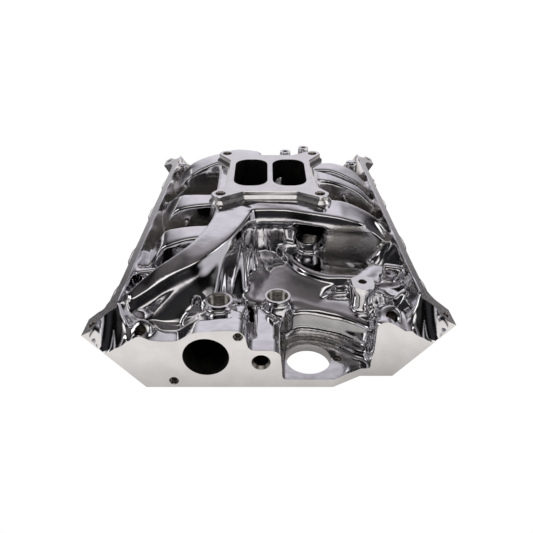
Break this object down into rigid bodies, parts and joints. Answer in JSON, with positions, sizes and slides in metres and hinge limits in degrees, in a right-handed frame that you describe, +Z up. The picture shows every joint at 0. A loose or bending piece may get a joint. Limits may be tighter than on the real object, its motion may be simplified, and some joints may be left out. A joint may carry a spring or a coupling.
{
  "type": "intake manifold",
  "caption": "Polished aluminium dual-plane intake manifold for a V engine, with carburettor flange, water outlet, distributor opening, thread inserts and underside splash shield.",
  "frame": {"origin": "centre of the carburettor flange's machined top, on the bar between the throttle openings", "axes": "+X to the right seen from the front, +Y to the rear along the engine, +Z up. The water outlet faces -Y."},
  "size_m": [0.39, 0.536, 0.1434],
  "materials": {
    "casting": "mirror-polished casting with fine-ground machined faces",
    "insert": "drawn stainless thread insert",
    "core_plug": "plated pressed cup",
    "shield": "zinc-plated pressed sheet",
    "screw": "plain drive screw"
  },
  "bodies": {
    "root": {"manifold_casting": "casting", "carb_stud_insert_front_left": "insert", "carb_stud_insert_front_right": "insert", "carb_stud_insert_rear_left": "insert", "carb_stud_insert_rear_right": "insert", "outlet_insert_upper": "insert", "outlet_insert_lower": "insert", "distributor_clamp_insert": "insert", "bracket_post_insert": "insert", "rail_insert_front_left": "insert", "rail_insert_front_right": "insert", "rail_insert_rear_left": "insert", "rail_insert_rear_right": "insert", "crossover_core_plug_left": "core_plug", "crossover_core_plug_right": "core_plug", "oil_splash_shield": "shield", "shield_drive_screw_front_left": "screw", "shield_drive_screw_front_middle": "screw", "shield_drive_screw_front_right": "screw", "shield_drive_screw_rear_left": "screw", "shield_drive_screw_rear_middle": "screw", "shield_drive_screw_rear_right": "screw"}
  },
  "joints": []
}
